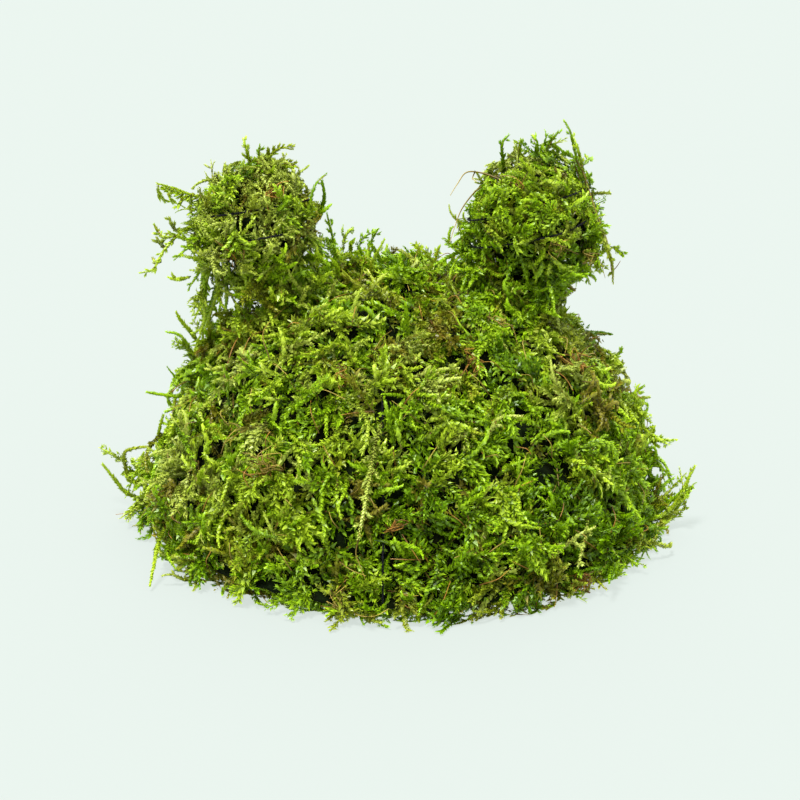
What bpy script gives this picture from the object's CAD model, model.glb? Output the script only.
import math
from collections import namedtuple

import bpy
import numpy as np
from mathutils import Matrix, Vector, noise


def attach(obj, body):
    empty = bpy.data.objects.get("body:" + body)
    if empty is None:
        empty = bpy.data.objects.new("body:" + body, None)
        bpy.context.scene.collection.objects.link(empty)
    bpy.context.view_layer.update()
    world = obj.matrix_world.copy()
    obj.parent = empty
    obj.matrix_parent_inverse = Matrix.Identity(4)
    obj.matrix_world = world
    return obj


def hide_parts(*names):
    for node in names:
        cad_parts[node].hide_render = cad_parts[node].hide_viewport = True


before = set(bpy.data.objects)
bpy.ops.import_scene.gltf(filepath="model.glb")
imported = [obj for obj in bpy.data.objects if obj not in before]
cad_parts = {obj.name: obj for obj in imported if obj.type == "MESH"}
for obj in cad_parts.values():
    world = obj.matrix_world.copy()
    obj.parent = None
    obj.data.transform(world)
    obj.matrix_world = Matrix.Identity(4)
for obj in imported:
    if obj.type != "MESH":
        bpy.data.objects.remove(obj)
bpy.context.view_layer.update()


# Base disc
# A thin round of dark rubbery plastic, moulded in one piece, that the moss is laid and tied on.
# Only its edge shows, where the skirt of moss is thin; it is dull, with a little dust on it.

MM = 0.001
OBJECT_PLACE = 3


class Wire:
    """One output of a material's node tree. Arithmetic on it adds Math nodes."""

    def __init__(self, tree, socket=None):
        self.tree = tree
        self.socket = socket

    def node(self, kind, settings=None, sockets=None, output=0):
        """Add a node: its settings first, then the values or links of its sockets."""
        made = self.tree.nodes.new("ShaderNode" + kind)
        for name, value in (settings or {}).items():
            if name == "stops":
                while len(made.color_ramp.elements) < len(value):
                    made.color_ramp.elements.new(0.5)
                for element, (place, colour) in zip(made.color_ramp.elements, value):
                    element.position = place
                    element.color = colour
            else:
                setattr(made, name, value)
        for name, value in (sockets or {}).items():
            if isinstance(value, Wire):
                self.tree.links.new(value.socket, made.inputs[name])
            else:
                made.inputs[name].default_value = value
        return Wire(self.tree, made.outputs[output] if made.outputs else None)

    def math(self, operation, *others):
        return self.node("Math", {"operation": operation}, dict(enumerate((self, *others))))

    def __add__(self, other):
        return self.math("ADD", other)

    def __mul__(self, other):
        return self.math("MULTIPLY", other)

    def __sub__(self, other):
        return self.math("SUBTRACT", other)

    def __rsub__(self, other):
        return self.node("Math", {"operation": "SUBTRACT"}, {0: other, 1: self})

    __radd__ = __add__
    __rmul__ = __mul__

    def between(self, low, high):
        """0 where the value is low or less, 1 where it is high or more."""
        return self.node("MapRange", None, {"Value": self, "From Min": low, "From Max": high})

    def mix(self, first, second):
        """The first colour where this is 0, the second where it is 1."""
        sockets = {"Factor": self, 6: first, 7: second}
        return self.node("Mix", {"data_type": "RGBA"}, sockets, output=2)

    def grain(self, scale, detail, roughness=0.5):
        """Noise over the piece's own space."""
        sockets = {"Scale": scale, "Detail": detail, "Roughness": roughness}
        sockets["Vector"] = self.node("TexCoord", output=OBJECT_PLACE)
        return self.node("TexNoise", None, sockets)

    def relief(self, strength, depth):
        """Bumps that a Normal socket takes, as high as this value says."""
        return self.node("Bump", None, {"Height": self, "Strength": strength, "Distance": depth})

    def cover(self):
        """Make this shader the surface of its material."""
        self.node("OutputMaterial", None, {"Surface": self})


def rgb(*shown):
    """An opaque colour in linear light, given as a screen shows it, from 0 to 255."""
    parts = [c / 255 for c in shown]
    return (*(c / 12.92 if c <= 0.04045 else ((c + 0.055) / 1.055) ** 2.4 for c in parts), 1.0)


def new_material(name):
    """An empty material and the wire that its nodes are built from."""
    material = bpy.data.materials.new(name)
    material.use_nodes = True
    material.node_tree.nodes.clear()
    return material, Wire(material.node_tree)


def principled(wire, **sockets):
    names = {name.replace("_", " "): value for name, value in sockets.items()}
    return wire.node("BsdfPrincipled", None, names)


disc_material, wire = new_material("dark_plastic")
dusty = wire.grain(420, 6, 0.7).between(0.5, 0.75)
shader = principled(
    wire,
    Base_Color=(dusty * 0.5).mix(rgb(15, 16, 19), rgb(44, 46, 42)),
    Roughness=0.5 + dusty * 0.25,
    Normal=wire.grain(2600, 3).relief(0.25, 0.2 * MM),
)
shader.cover()
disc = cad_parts["base_disc"]
disc.data.materials.clear()
disc.data.materials.append(disc_material)


# Matted moss under the fronds
# Old moss that has gone brown and dark, pressed into a mat by the thread: over the dome, and
# round the two balls and their necks. It is what shows, nearly black, between the fronds.

DOME_RADIUS = 54.0
DOME_HEIGHT = 56.5
DOME_FULLNESS = 2.2
FLOOR_GAP = 0.3
LUMP_SIZE = 14.0
LUMP_HEIGHT = 2.8
DIP_DEPTH = 4.0
DIP_HEIGHT = 7.0
DIP_HEADING = math.radians(-122)
DIP_WIDTH = math.radians(13)
LEFT_BALL = {"centre": (-31.5, 0.0, 71.0), "radius": 12.6, "foot": (-21.0, 0.0, 41.0), "neck": 6.8}
RIGHT_BALL = {"centre": (28.0, 0.0, 71.8), "radius": 14.0, "foot": (25.0, 0.0, 41.0), "neck": 7.8}
BALL_TAPER = 0.3
MAT_SINK = 2.0
PIT_SIZE = 3.0
DISC_TOP = 3.4


def lumps(points):
    """Height of the soft lumps in the moss at places given in millimetres."""
    return LUMP_HEIGHT * np.array([noise.noise(Vector(p) / LUMP_SIZE) for p in points])


def dome_surface(ways):
    """Points of the dome's matted surface, in millimetres, in the directions given."""
    flat = np.hypot(ways[:, 0], ways[:, 1]) / DOME_RADIUS
    tall = np.abs(ways[:, 2]) / DOME_HEIGHT
    reach = (flat**DOME_FULLNESS + tall**DOME_FULLNESS) ** (-1 / DOME_FULLNESS)
    aside = (np.arctan2(ways[:, 1], ways[:, 0]) - DIP_HEADING) / DIP_WIDTH
    dip = DIP_DEPTH * np.exp(-(aside**2) - (ways[:, 2] * reach / DIP_HEIGHT) ** 2)
    points = ways * reach[:, None]
    return points + ways * (lumps(points) - dip)[:, None] + (0, 0, FLOOR_GAP)


def ball_surface(ball, ways):
    """Points of a ball's matted surface, in millimetres, in the directions given."""
    taper = 1 - BALL_TAPER * np.maximum(0, ways[:, 2:])
    points = ball["centre"] + ways * ball["radius"] * np.hstack([taper, taper, 1 + 0 * taper])
    return points + ways * lumps(points)[:, None] / 2


def neck_surface(ball, ways):
    """Points of a neck's matted surface, a long round from the ball down into the dome."""
    centre, foot = np.array(ball["centre"]), np.array(ball["foot"])
    half = (centre - foot) / 2
    along = half / np.linalg.norm(half)
    level = ways - np.outer(ways @ along, along)
    return foot + half + level * ball["neck"] + np.outer(ways @ along, half)


def add_mesh(name, points, faces, material, uv=None):
    """A mesh piece from points in millimetres, on the object's one body."""
    mesh = bpy.data.meshes.new(name)
    mesh.vertices.add(len(points))
    mesh.vertices.foreach_set("co", (np.asarray(points, np.float32) * MM).ravel())
    mesh.loops.add(faces.size)
    mesh.loops.foreach_set("vertex_index", faces.ravel().astype(np.int32))
    mesh.polygons.add(len(faces))
    mesh.polygons.foreach_set("loop_start", np.arange(0, faces.size, 3, dtype=np.int32))
    if uv is not None:
        layer = mesh.uv_layers.new(name="OFBake")
        layer.uv.foreach_set("vector", uv[faces.ravel()].astype(np.float32).ravel())
    mesh.materials.append(material)
    mesh.update()
    mesh.validate()
    piece = bpy.data.objects.new(name, mesh)
    bpy.context.collection.objects.link(piece)
    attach(piece, "root")
    return piece


def joined(parts):
    """Join parts, each a tuple that starts (points, faces), into one tuple."""
    starts = np.cumsum([0] + [len(part[0]) for part in parts[:-1]])
    faces = np.vstack([part[1] + start for part, start in zip(parts, starts)])
    rest = [np.concatenate(columns) for columns in list(zip(*parts))[2:]]
    return (np.vstack([part[0] for part in parts]), faces, *rest)


mat_material, wire = new_material("old_moss")
fibres = wire.grain(1500, 6, 0.75)
brown = wire.grain(150, 4).between(0.42, 0.62).mix(rgb(22, 38, 2), rgb(32, 34, 4))
shader = principled(
    wire,
    Base_Color=fibres.between(0.35, 0.75).mix(rgb(6, 12, 1), brown),
    Roughness=0.85,
    Specular_IOR_Level=0.1,
    Normal=fibres.relief(0.9, 0.6 * MM),
)
shader.cover()


def wrapped(surface, rings, sides, rough, lowest=0.0):
    """A closed, rough round of points a little below a matted surface: points and faces."""
    tall = np.linspace(0, math.pi, rings + 1)[1:-1]
    turn = np.arange(sides) * math.tau / sides
    tall, turn = np.meshgrid(tall, turn, indexing="ij")
    ways = np.stack([np.sin(tall) * np.cos(turn), np.sin(tall) * np.sin(turn), np.cos(tall)], -1)
    ways = np.vstack([ways.reshape(-1, 3), [(0, 0, 1), (0, 0, -1)]])
    points = surface(ways)
    pits = np.array([noise.turbulence(Vector(p) / PIT_SIZE, 3, False) for p in points])
    points = points + ways * ((pits - 0.5) * rough - MAT_SINK)[:, None]
    points[:, 2] = np.maximum(points[:, 2], lowest)
    index = np.arange((rings - 1) * sides).reshape(rings - 1, sides)
    across = np.roll(index, -1, axis=1)
    top = np.stack([np.full(sides, len(ways) - 2), index[0], across[0]], -1)
    low = np.stack([np.full(sides, len(ways) - 1), across[-1], index[-1]], -1)
    upper = np.stack([index[:-1], index[1:], across[1:]], -1).reshape(-1, 3)
    lower = np.stack([index[:-1], across[1:], across[:-1]], -1).reshape(-1, 3)
    return points, np.vstack([upper, lower, top, low])


def whole_dome(ways):
    """Points of the dome's surface, and of its rim for directions below the floor."""
    return dome_surface(np.where(ways[:, 2:] < 0, ways * (1, 1, 0) + (0, 0, 1e-3), ways))


mat = add_mesh("moss_mat_dome", *wrapped(whole_dome, 80, 150, 1.6, DISC_TOP), mat_material)
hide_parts("moss_dome")
for name, ball in (("left", LEFT_BALL), ("right", RIGHT_BALL)):
    round_mat = wrapped(lambda ways: ball_surface(ball, ways), 32, 60, 1.2)
    neck_mat = wrapped(lambda ways: neck_surface(ball, ways), 30, 44, 1.2)
    mat = add_mesh("moss_mat_ball_" + name, *joined([round_mat, neck_mat]), mat_material)
    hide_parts("moss_ball_" + name)


# Fronds over the dome
# Feather moss: each frond is a main shoot with side shoots, and every shoot is clothed in tiny
# pointed leaves, wrapped round like a braid or pressed flat like a feather. The fronds lie over
# each other in tufts, held by the thread, and their tips stand out.

MOSS_SEED = 7
GOLDEN_ANGLE = math.radians(137.5)
WOOD = -1.0
PATH_STEPS = 25
FOLD_PLACE = 0.4
FOLD_DEPTH = 0.3
LAST_SIDE_SHOOT = 0.94
SHORTEST_SHOOT = 0.8
SIDE_SHOOT_ANGLES = (34, 60)

rng = np.random.default_rng(MOSS_SEED)


def unit(v):
    return v / np.linalg.norm(v)


def units(rows):
    return rows / np.linalg.norm(rows, axis=1)[:, None]


def leafy(length, look):
    """Leaves in a spiral along +X, each one face, or two faces folded along the keel."""
    count = max(5, int(length * look.crowd))
    share = (np.arange(count) + rng.uniform(0, 1, count)) / count
    turn = np.arange(count) * GOLDEN_ANGLE + rng.normal(0, 0.3, count)
    radial = units(np.stack([np.cos(turn), np.sin(turn) * look.roundness], -1))
    lean = np.radians(look.spread * (1.15 - 0.6 * share)) + rng.normal(0, 0.1, count)
    way = np.stack([np.cos(lean), *(radial * np.sin(lean)[:, None]).T], -1)
    tangent = np.stack([0 * turn, -radial[:, 1], radial[:, 0]], -1)
    fullness = np.minimum(1, 0.6 + 1.6 * share) * (1.05 - 0.6 * share**3) * rng.uniform(0.72, 1.2, count)
    size = fullness[:, None]
    foot = np.stack([share * length, *(radial * look.core).T], -1)
    tip = foot + way * look.leaf * size
    half = tangent * look.width / 2 * size
    shade = rng.normal(0, look.mottle, (count, 1))
    first = np.arange(count)[:, None]
    if look.fold:
        back = np.cross(tangent, way) * look.width * FOLD_DEPTH * size
        middle = foot + way * look.leaf * FOLD_PLACE * size - back
        points = np.stack([foot, middle + half, tip, middle - half], 1)
        faces = np.vstack([first * 4 + (0, 1, 2), first * 4 + (0, 2, 3)])
        ages, tones = (0.05, 0.32, 0.6, 0.32), (0.0, 0.006, 0.0, -0.006)
    else:
        points = np.stack([foot + half, foot - half, tip], 1)
        faces = first * 3 + (0, 1, 2)
        ages, tones = (0.08, 0.14, 0.6), (0.006, -0.006, 0.0)
    age = share[:, None] * 0.35 + ages
    return points.reshape(-1, 3), faces, age.ravel(), (shade + tones).ravel()


def tube_faces(rings, sides, closed=False):
    """Faces between rings of points; in a closed tube the last ring joins the first."""
    index = np.arange(rings * sides).reshape(rings, sides)
    low, high = (index, np.roll(index, -1, axis=0)) if closed else (index[:-1], index[1:])
    beside = np.roll(low, -1, axis=1)
    upper = np.stack([low, beside, high], -1).reshape(-1, 3)
    lower = np.stack([beside, np.roll(high, -1, axis=1), high], -1).reshape(-1, 3)
    return np.vstack([upper, lower])


def wiry(length, thick, thin, joints):
    """A bare three-sided stem along +X."""
    along = np.linspace(0, 1, joints)
    turn = np.arange(3) * math.tau / 3
    girth = (thick + (thin - thick) * along)[:, None]
    points = np.stack([along[:, None] * length + 0 * turn, girth * np.cos(turn), girth * np.sin(turn)], -1)
    age = np.repeat(along * 0.9 + 0.05, 3)
    tone = np.tile([WOOD, WOOD - 0.01, WOOD + 0.01], joints)
    return points.reshape(-1, 3), tube_faces(joints, 3), age, tone


def course(length, down, aside, curl):
    """The path of a shoot from its root: where its middle runs, and its axes there."""
    steps = np.linspace(0, length, PATH_STEPS)
    share = steps / length
    pitch = down * steps + curl * share**3
    yaw = aside * steps
    way = np.stack([np.cos(pitch) * np.cos(yaw), np.cos(pitch) * np.sin(yaw), -np.sin(pitch)], -1)
    across = np.stack([-np.sin(yaw), np.cos(yaw), 0 * yaw], -1)
    middle = np.vstack([(0, 0, 0), np.cumsum((way[1:] + way[:-1]) / 2 * steps[1], axis=0)])
    return steps, middle, way, across


def follow(points, path):
    """Carry points that lie along +X onto a path."""
    steps, middle, way, across = path
    up = np.cross(way, across)
    x = np.clip(points[:, 0], 0, steps[-1])
    over = points[:, 0] - x
    table = np.hstack([middle, way, across, up])
    rows = np.stack([np.interp(x, steps, column) for column in table.T], -1)
    sideways = rows[:, 6:9] * points[:, 1:2] + rows[:, 9:12] * points[:, 2:3]
    return rows[:, 0:3] + rows[:, 3:6] * over[:, None] + sideways


def turned(points, axis, angle):
    return points @ np.array(Matrix.Rotation(angle, 3, axis)).T


def frond(length, branch, gap, tumble, look, twig, one_side=0):
    """A frond along +X: a main shoot, and side shoots on both sides in turn, or on one."""
    parts = [leafy(length, look), wiry(length, 0.14, 0.05, max(3, int(length / 2)))]
    along = gap * rng.uniform(0.4, 1.4)
    side = one_side or rng.choice([-1, 1])
    while along < length * LAST_SIDE_SHOOT:
        share = along / length
        reach = branch * min(1, 0.5 + 2.2 * share) * (1.08 - 0.75 * share**2) * rng.uniform(0.6, 1.3)
        reach = max(reach, SHORTEST_SHOOT)
        points, faces, age, tone = leafy(reach, twig)
        down, aside, curl = rng.uniform(-0.05, 0.15), rng.uniform(0.02, 0.16), rng.normal(0.1, 0.5)
        bend = course(reach, down, -side * aside, curl)
        points = turned(follow(points, bend), "Y", rng.normal(0, tumble))
        points = turned(points, "Z", side * math.radians(rng.uniform(*SIDE_SHOOT_ANGLES)))
        points = turned(points, "X", rng.normal(0, tumble))
        tone = np.where(tone < WOOD / 2, tone, tone + rng.normal(0, 0.014))
        parts.append((points + (along, 0, 0), faces, age * 0.8 + 0.2 * share, tone))
        along += gap * rng.uniform(0.6, 1.4)
        side = one_side or -side
    return (*joined(parts), length)


# how a shoot is clothed: leaves a millimetre, a leaf's length, width and lean in degrees, how round
# the shoot is, whether leaves are folded, how far out their feet stand, and how their tone varies
Look = namedtuple("Look", "crowd leaf width spread roundness fold core mottle", defaults=(0.1, 0.012))
FEATHER = Look(4.4, 1.15, 0.74, 27, 0.5, True)
FEATHER_TWIG = Look(4.8, 1.0, 0.7, 22, 0.5, False)
BRAID = Look(6.8, 1.0, 0.8, 30, 1.0, True, 0.2)
BRAID_TWIG = Look(6.2, 0.85, 0.68, 28, 1.0, False, 0.14)
TUFTED = Look(5.0, 1.1, 0.74, 31, 0.8, False)
TUFTED_TWIG = Look(5.0, 0.95, 0.7, 28, 0.8, False)
BLADE = Look(5.0, 1.5, 1.05, 24, 0.3, True)
BLADE_TWIG = Look(4.6, 1.2, 0.86, 23, 0.35, False)
STRAP = Look(6.4, 1.2, 0.9, 25, 0.7, True, 0.16)
WHISKER = Look(4.2, 1.2, 0.5, 11, 0.8, False, 0.06)
UNDER = Look(2.4, 1.3, 0.85, 50, 0.6, False, 0.1, 0.02)


def frond_models(count, lengths, branches, gap, tumble, look, twig):
    """A few different fronds of one kind."""
    models = []
    for _ in range(count):
        length, branch = rng.uniform(*lengths), rng.uniform(*branches)
        models.append(frond(length, branch, gap, tumble, look, twig))
    return models


LEAF_TONES = (0.14, 0.99)
LEAF_AGES = (0.004, 0.996)


def leaf_map(tone, age):
    """Points of the OFBake map, which gives the leaf material its tone and age."""
    return np.stack([tone, np.clip(age, *LEAF_AGES)], -1)


def lay(model, root, axes, tone, wood, size, path, mirror):
    """Set a frond down at a root, by three axes: its way, across it, and out from the moss."""
    points, faces, age, shade, _ = model
    points = follow(points * (1, mirror, 1), path) * size
    points = root + points @ axes
    tone = np.where(shade < WOOD / 2, wood + shade - WOOD, np.clip(tone + shade, *LEAF_TONES))
    return points, faces[:, :: int(mirror)], leaf_map(tone, age)


def spread_ways(count, low):
    """Directions spread evenly over a round, from a lowest height up, with a little disorder."""
    step = np.arange(count) + 0.5
    tall = np.clip(1 - (1 - low) * step / count + rng.normal(0, 0.35 / math.sqrt(count), count), low, 1)
    turn = step * GOLDEN_ANGLE + rng.normal(0, 0.6 / math.sqrt(count), count)
    level = np.sqrt(np.maximum(0, 1 - tall**2))
    return np.stack([level * np.cos(turn), level * np.sin(turn), tall], -1)


# tones in the OFBake map: of leaves, from deep green to brown, and of bare stems
DEEP, GREEN, YELLOW, PALE, OLIVE, BROWN = 0.2, 0.36, 0.54, 0.7, 0.84, 0.95
DARK_WOOD, TAN_WOOD = 0.03, 0.09
DARKEST_LEAF = 0.13


def on_dome(turn, tall, lift):
    """A place over the dome: degrees round from the front to the right, and degrees up."""
    turn, tall = math.radians(turn), math.radians(tall)
    way = np.array([[math.sin(turn) * math.cos(tall), -math.cos(turn) * math.cos(tall), math.sin(tall)]])
    return (dome_surface(way) + way * lift)[0]


# where the moss grows thick and pale, or thin and dark: degrees round and up the dome or a place
# on a ball, how far round it, and how much
DOME_GROWTH = (
    (-10, 21, 9, -0.81),
    (4, 21, 7, -0.74),
    (36, 30, 10, -0.68),
    (27, 10, 9, -0.54),
    (0, 30, 6, -0.54),
    (-34, 12, 9, -0.47),
    (-16, 29, 6, -0.54),
    (-38, 31, 10, 0.54),
    (20, 24, 9, 0.61),
    (40, 39, 7, 0.47),
    (-42, 56, 9, 0.41),
    (-24, 57, 8, 0.54),
    (-66, 17, 11, 0.54),
    (-68, 65, 9, 0.61),
    (71, 63, 9, 0.54),
    (21, 47, 7, 0.34),
)
BALL_GROWTH = (
    ((21, -12, 66), 8, -0.54),
    ((26, -8, 84), 7, 0.27),
    ((36, -9, 76), 7, 0.27),
    ((-32, -6, 76), 20, 0.14),
)
growths = [(on_dome(turn, tall, 0), reach, much) for turn, tall, reach, much in DOME_GROWTH]
growths += BALL_GROWTH


def growth(place):
    """How much thicker and paler the moss grows at a place."""
    total = 0
    for spot, reach, much in growths:
        total += much * math.exp(-((place - np.array(spot)) ** 2).sum() / reach**2)
    return total


AGED_HEIGHTS = (0, 8, 16, 40, 46, 60, 64)
AGED_LIMITS = (0.12, 0.2, 0.42, 0.42, 0.2, 0.2, 0.46)
TONE_LIMITS = (-0.5, 0.17, 0.64)
BALLS_ABOVE = 60


def pick_tone(place):
    """The tone of a tuft: green, yellowed or pale in drifts, with old olive and brown tufts."""
    drift = growth(place) + rng.normal(0, 0.24)
    place = Vector(place)
    aged = noise.noise(place / 9 + Vector((7.7, 0, 0))) + rng.normal(0, 0.15)
    if aged > np.interp(place.z, AGED_HEIGHTS, AGED_LIMITS):
        return rng.choice([OLIVE, OLIVE, BROWN] if place.z < BALLS_ABOVE else [PALE, OLIVE, OLIVE])
    drift = drift + 1.3 * noise.noise(place / 17 + Vector((3.1, 0, 0))) + 0.8 * noise.noise(place / 6)
    drift = drift - 0.95 * max(0, 1 - place.z / 17) - min(place.x, 0) / 130 + 0.25 * (place.z > 58)
    return (DEEP, GREEN, YELLOW, PALE)[np.searchsorted(TONE_LIMITS, drift)]


ROOT_SPREAD = 1.6


def lay_tuft(models, place, normal, heading, tone, count, spread, lift, size, droop, back=0.35):
    """A few fronds over one spot, fanned about one heading, with their roots behind the spot."""
    laid = []
    east = unit(np.cross((0.05, 0.02, 1), normal))
    north = np.cross(normal, east)
    for _ in range(count):
        level = heading + rng.normal(0, spread)
        rise = math.radians(rng.uniform(*lift))
        flat = east * math.cos(level) + north * math.sin(level)
        way = unit(flat * math.cos(rise) + normal * math.sin(rise) - np.array((0, 0, droop)))
        # near the floor a frond stays level, or turns up
        way = unit(np.array((way[0], way[1], max(way[2], (1 - place[2]) / 10))))
        face = unit(normal - way * (normal @ way))
        roll = rng.normal(0, 0.6)
        face = face * math.cos(roll) + np.cross(way, face) * math.sin(roll)
        model = models[rng.integers(len(models))]
        down, aside, curl = rng.uniform(0.0, 0.15), rng.normal(0, 0.11), rng.normal(0.4, 1.0)
        path = course(model[4], down, aside, curl)
        root = place + east * rng.normal(0, ROOT_SPREAD) + north * rng.normal(0, ROOT_SPREAD)
        root = root - normal * rng.uniform(0.2, 1.8) - flat * model[4] * back
        shade = tone + rng.normal(0, 0.045)
        wood = rng.choice([tone, tone, tone, DARK_WOOD, TAN_WOOD])
        axes = np.stack([way, np.cross(face, way), face])
        laid.append(lay(model, root, axes, shade, wood, rng.uniform(*size), path, rng.choice([-1, 1])))
    return laid


SEEN_THROUGH = 0.22

leaf_material, wire = new_material("moss_leaves")
tone_and_age = wire.node("UVMap", {"uv_map": "OFBake"})
tone = wire.node("SeparateXYZ", None, {0: tone_and_age}, 0)
age = wire.node("SeparateXYZ", None, {0: tone_and_age}, 1)
LEAF_COLOURS = (
    (DARK_WOOD, rgb(98, 66, 16), rgb(206, 150, 62)),
    (TAN_WOOD, rgb(104, 84, 24), rgb(206, 180, 84)),
    (DARKEST_LEAF, rgb(12, 28, 0), rgb(118, 162, 8)),
    (DEEP, rgb(24, 44, 0), rgb(148, 194, 4)),
    (GREEN, rgb(42, 74, 0), rgb(184, 224, 28)),
    (YELLOW, rgb(62, 82, 0), rgb(208, 234, 50)),
    (PALE, rgb(80, 88, 4), rgb(214, 228, 100)),
    (OLIVE, rgb(56, 66, 2), rgb(184, 200, 38)),
    (BROWN, rgb(54, 48, 6), rgb(158, 150, 40)),
)
old_stops = [(stop, old) for stop, old, _ in LEAF_COLOURS]
young_stops = [(stop, young) for stop, _, young in LEAF_COLOURS]
old_colour = wire.node("ValToRGB", {"stops": old_stops}, {"Fac": tone})
young_colour = wire.node("ValToRGB", {"stops": young_stops}, {"Fac": tone})
colour = age.between(0.1, 0.8).mix(old_colour, young_colour)
shader = principled(wire, Base_Color=colour, Roughness=0.5 - 0.22 * age, Specular_IOR_Level=0.42)
through = wire.node("BsdfTranslucent", None, {"Color": colour})
wire.node("MixShader", None, {"Fac": SEEN_THROUGH, 1: shader, 2: through}).cover()

under_models = frond_models(8, (6, 10), (3.0, 4.0), 1.0, 0.3, UNDER, UNDER)
spray_models = frond_models(12, (3.5, 8), (1.4, 3.0), 0.95, 0.45, TUFTED, TUFTED_TWIG)
feather_models = frond_models(10, (5, 9), (1.6, 2.6), 0.62, 0.15, FEATHER, FEATHER_TWIG)
braid_models = frond_models(8, (5, 11), (1.6, 3.0), 2.4, 0.4, BRAID, BRAID_TWIG)
blade_models = frond_models(8, (4, 8), (1.6, 2.6), 1.5, 0.3, BLADE, BLADE_TWIG)
finger_models = frond_models(12, (4, 9), (1.4, 2.4), 6.0, 0.5, STRAP, BLADE_TWIG)
whisker_models = frond_models(6, (5, 9), (2.0, 3.5), 2.6, 0.6, WHISKER, WHISKER)
long_models = (
    frond_models(4, (10, 15), (1.6, 2.6), 1.4, 0.35, BRAID, BRAID_TWIG),
    frond_models(4, (9, 13), (2.0, 3.0), 0.8, 0.15, FEATHER, FEATHER_TWIG),
    frond_models(6, (9, 14), (1.4, 2.6), 2.2, 0.3, BLADE, BLADE_TWIG),
    frond_models(4, (11, 16), (1.2, 2.0), 3.0, 0.4, BRAID, BRAID_TWIG),
)

KINDS = (finger_models, whisker_models, spray_models, feather_models, blade_models, braid_models)
PALE_SHARES = (0.2, 0.06, 0.14, 0.2, 0, 0.4)
GREEN_SHARES = (0.28, 0.04, 0.12, 0.3, 0.16, 0.1)
STANDING = finger_models + braid_models + whisker_models
DOME_MIDDLE = (0, 0, 10)
GAP_SHARE = 0.45


def pick_kind(tone):
    """Braids are mostly pale or olive, blades mostly bright."""
    shares = PALE_SHARES if tone in (PALE, OLIVE, BROWN) else GREEN_SHARES
    return KINDS[rng.choice(len(KINDS), p=shares)]


def dress(ways, places, size, lift, droop, drift):
    """Lay tufts of fronds over a round, thinner over its hollows."""
    laid = []
    for way, place in zip(ways, places):
        tone = pick_tone(place)
        flow = noise.noise(Vector(place) / drift) * 5.0 + rng.normal(0, 0.8)
        height = noise.noise(Vector(place) / 5.5 + Vector((0, 0, 9))) + 0.5 * growth(place)
        count = 6 if height > -0.15 else 4
        place = place + way * height * 4.4
        for _ in range(count):
            kind = pick_kind(tone)
            heading = rng.uniform(0, math.tau) if rng.random() < 0.2 else flow
            laid += lay_tuft(kind, place, way, heading, tone, 1, 0.7, lift, size, droop)
    return laid


def underlay(ways, places, size):
    """Lay old dark fronds flat over a round."""
    laid = []
    for way, place in zip(ways, places):
        dark = rng.choice([DEEP, DEEP, OLIVE, BROWN, GREEN])
        turn = rng.uniform(0, math.tau)
        laid += lay_tuft(under_models, place, way, turn, dark, 1, 0, (0, 18), size, 0.1)
    return laid


def fill_gaps(laid, surface, centre, count, low, reach, size):
    """Lay tufts where few leaves lie, out of some directions spread evenly about a centre."""
    points = units(np.vstack([part[0][::9] for part in laid]) - centre)
    ways = spread_ways(count, low)
    found = np.zeros(count)
    for some in np.array_split(points, len(points) // 4000 + 1):
        found += (some @ ways.T > math.cos(reach)).sum(0)
    ways = ways[found < np.median(found) * GAP_SHARE]
    for way, place in zip(ways, surface(ways)):
        tone = pick_tone(place)
        for turn in rng.uniform(0, math.tau, 3):
            laid += lay_tuft(pick_kind(tone), place, way, turn, tone, 1, 0, (2, 25), size, 0.1, 0.5)
    return laid


def stand(places, middle, oldest, lift, size):
    """Lay shoots that stand up from the rest, away from a middle."""
    laid = []
    for place in places:
        turn = rng.uniform(0, math.tau)
        tone = min(pick_tone(place), oldest)
        way = unit(place - middle)
        laid += lay_tuft(STANDING, place, way, turn, tone, 2, 0.6, lift, size, 0.1, 0)
    return laid


def ways_at(turn, tall):
    """Directions at angles round from the right and up from the floor."""
    return np.stack([np.cos(turn) * np.cos(tall), np.sin(turn) * np.cos(tall), np.sin(tall)], -1)


def rim_ways(count, highest):
    """Directions round the dome's rim, some degrees up, with a little disorder."""
    turn = np.arange(count) * math.tau / count + rng.normal(0, 0.02, count)
    return ways_at(turn, np.radians(rng.uniform(1, highest, count)))


FLOOR_EASE = 1.4
FLOOR_LIFT = 0.15
THREAD_SINK = -1.0
SHOWN_HEIGHT = 18.0
SHOWN_LIFT = 1.6
THREAD_AIM = -0.075
THREAD_FOOT = math.radians(5)
WINDINGS = {"left": (7.0, 9.0, -85.0), "right": (15.0, 6.0, -95.0)}
WINDING_SPREAD = math.radians(13)
WINDING_LIFT = 0.4


def thread_over_dome():
    """The thread from the front edge up over the top and down to the back edge."""
    angle = np.linspace(THREAD_FOOT, math.pi - THREAD_FOOT, 600)
    ways = units(np.stack([0 * angle + THREAD_AIM, -np.cos(angle), np.sin(angle)], -1))
    points = dome_surface(ways)
    shown = np.clip((SHOWN_HEIGHT - points[:, 2]) / 4, 0, 1) * (points[:, 1] < 0)
    return points + ways * (THREAD_SINK + (SHOWN_LIFT - THREAD_SINK) * shown)[:, None]


def thread_round_ball(ball, tilt, nod, heading):
    """Two turns round a ball that cross once, one turn over the other."""
    turn = 2 * math.tau * np.arange(520) / 520
    height = WINDING_SPREAD * np.cos(turn / 2)
    lie = Matrix.Rotation(math.radians(heading), 3, "Z") @ Matrix.Rotation(math.radians(tilt), 3, "X")
    ways = ways_at(turn, height) @ np.array(lie @ Matrix.Rotation(math.radians(-nod), 3, "Y")).T
    lift = WINDING_LIFT * (0.8 + np.sin(turn / 2))
    return ball_surface(ball, ways) + ways * lift[:, None]


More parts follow.
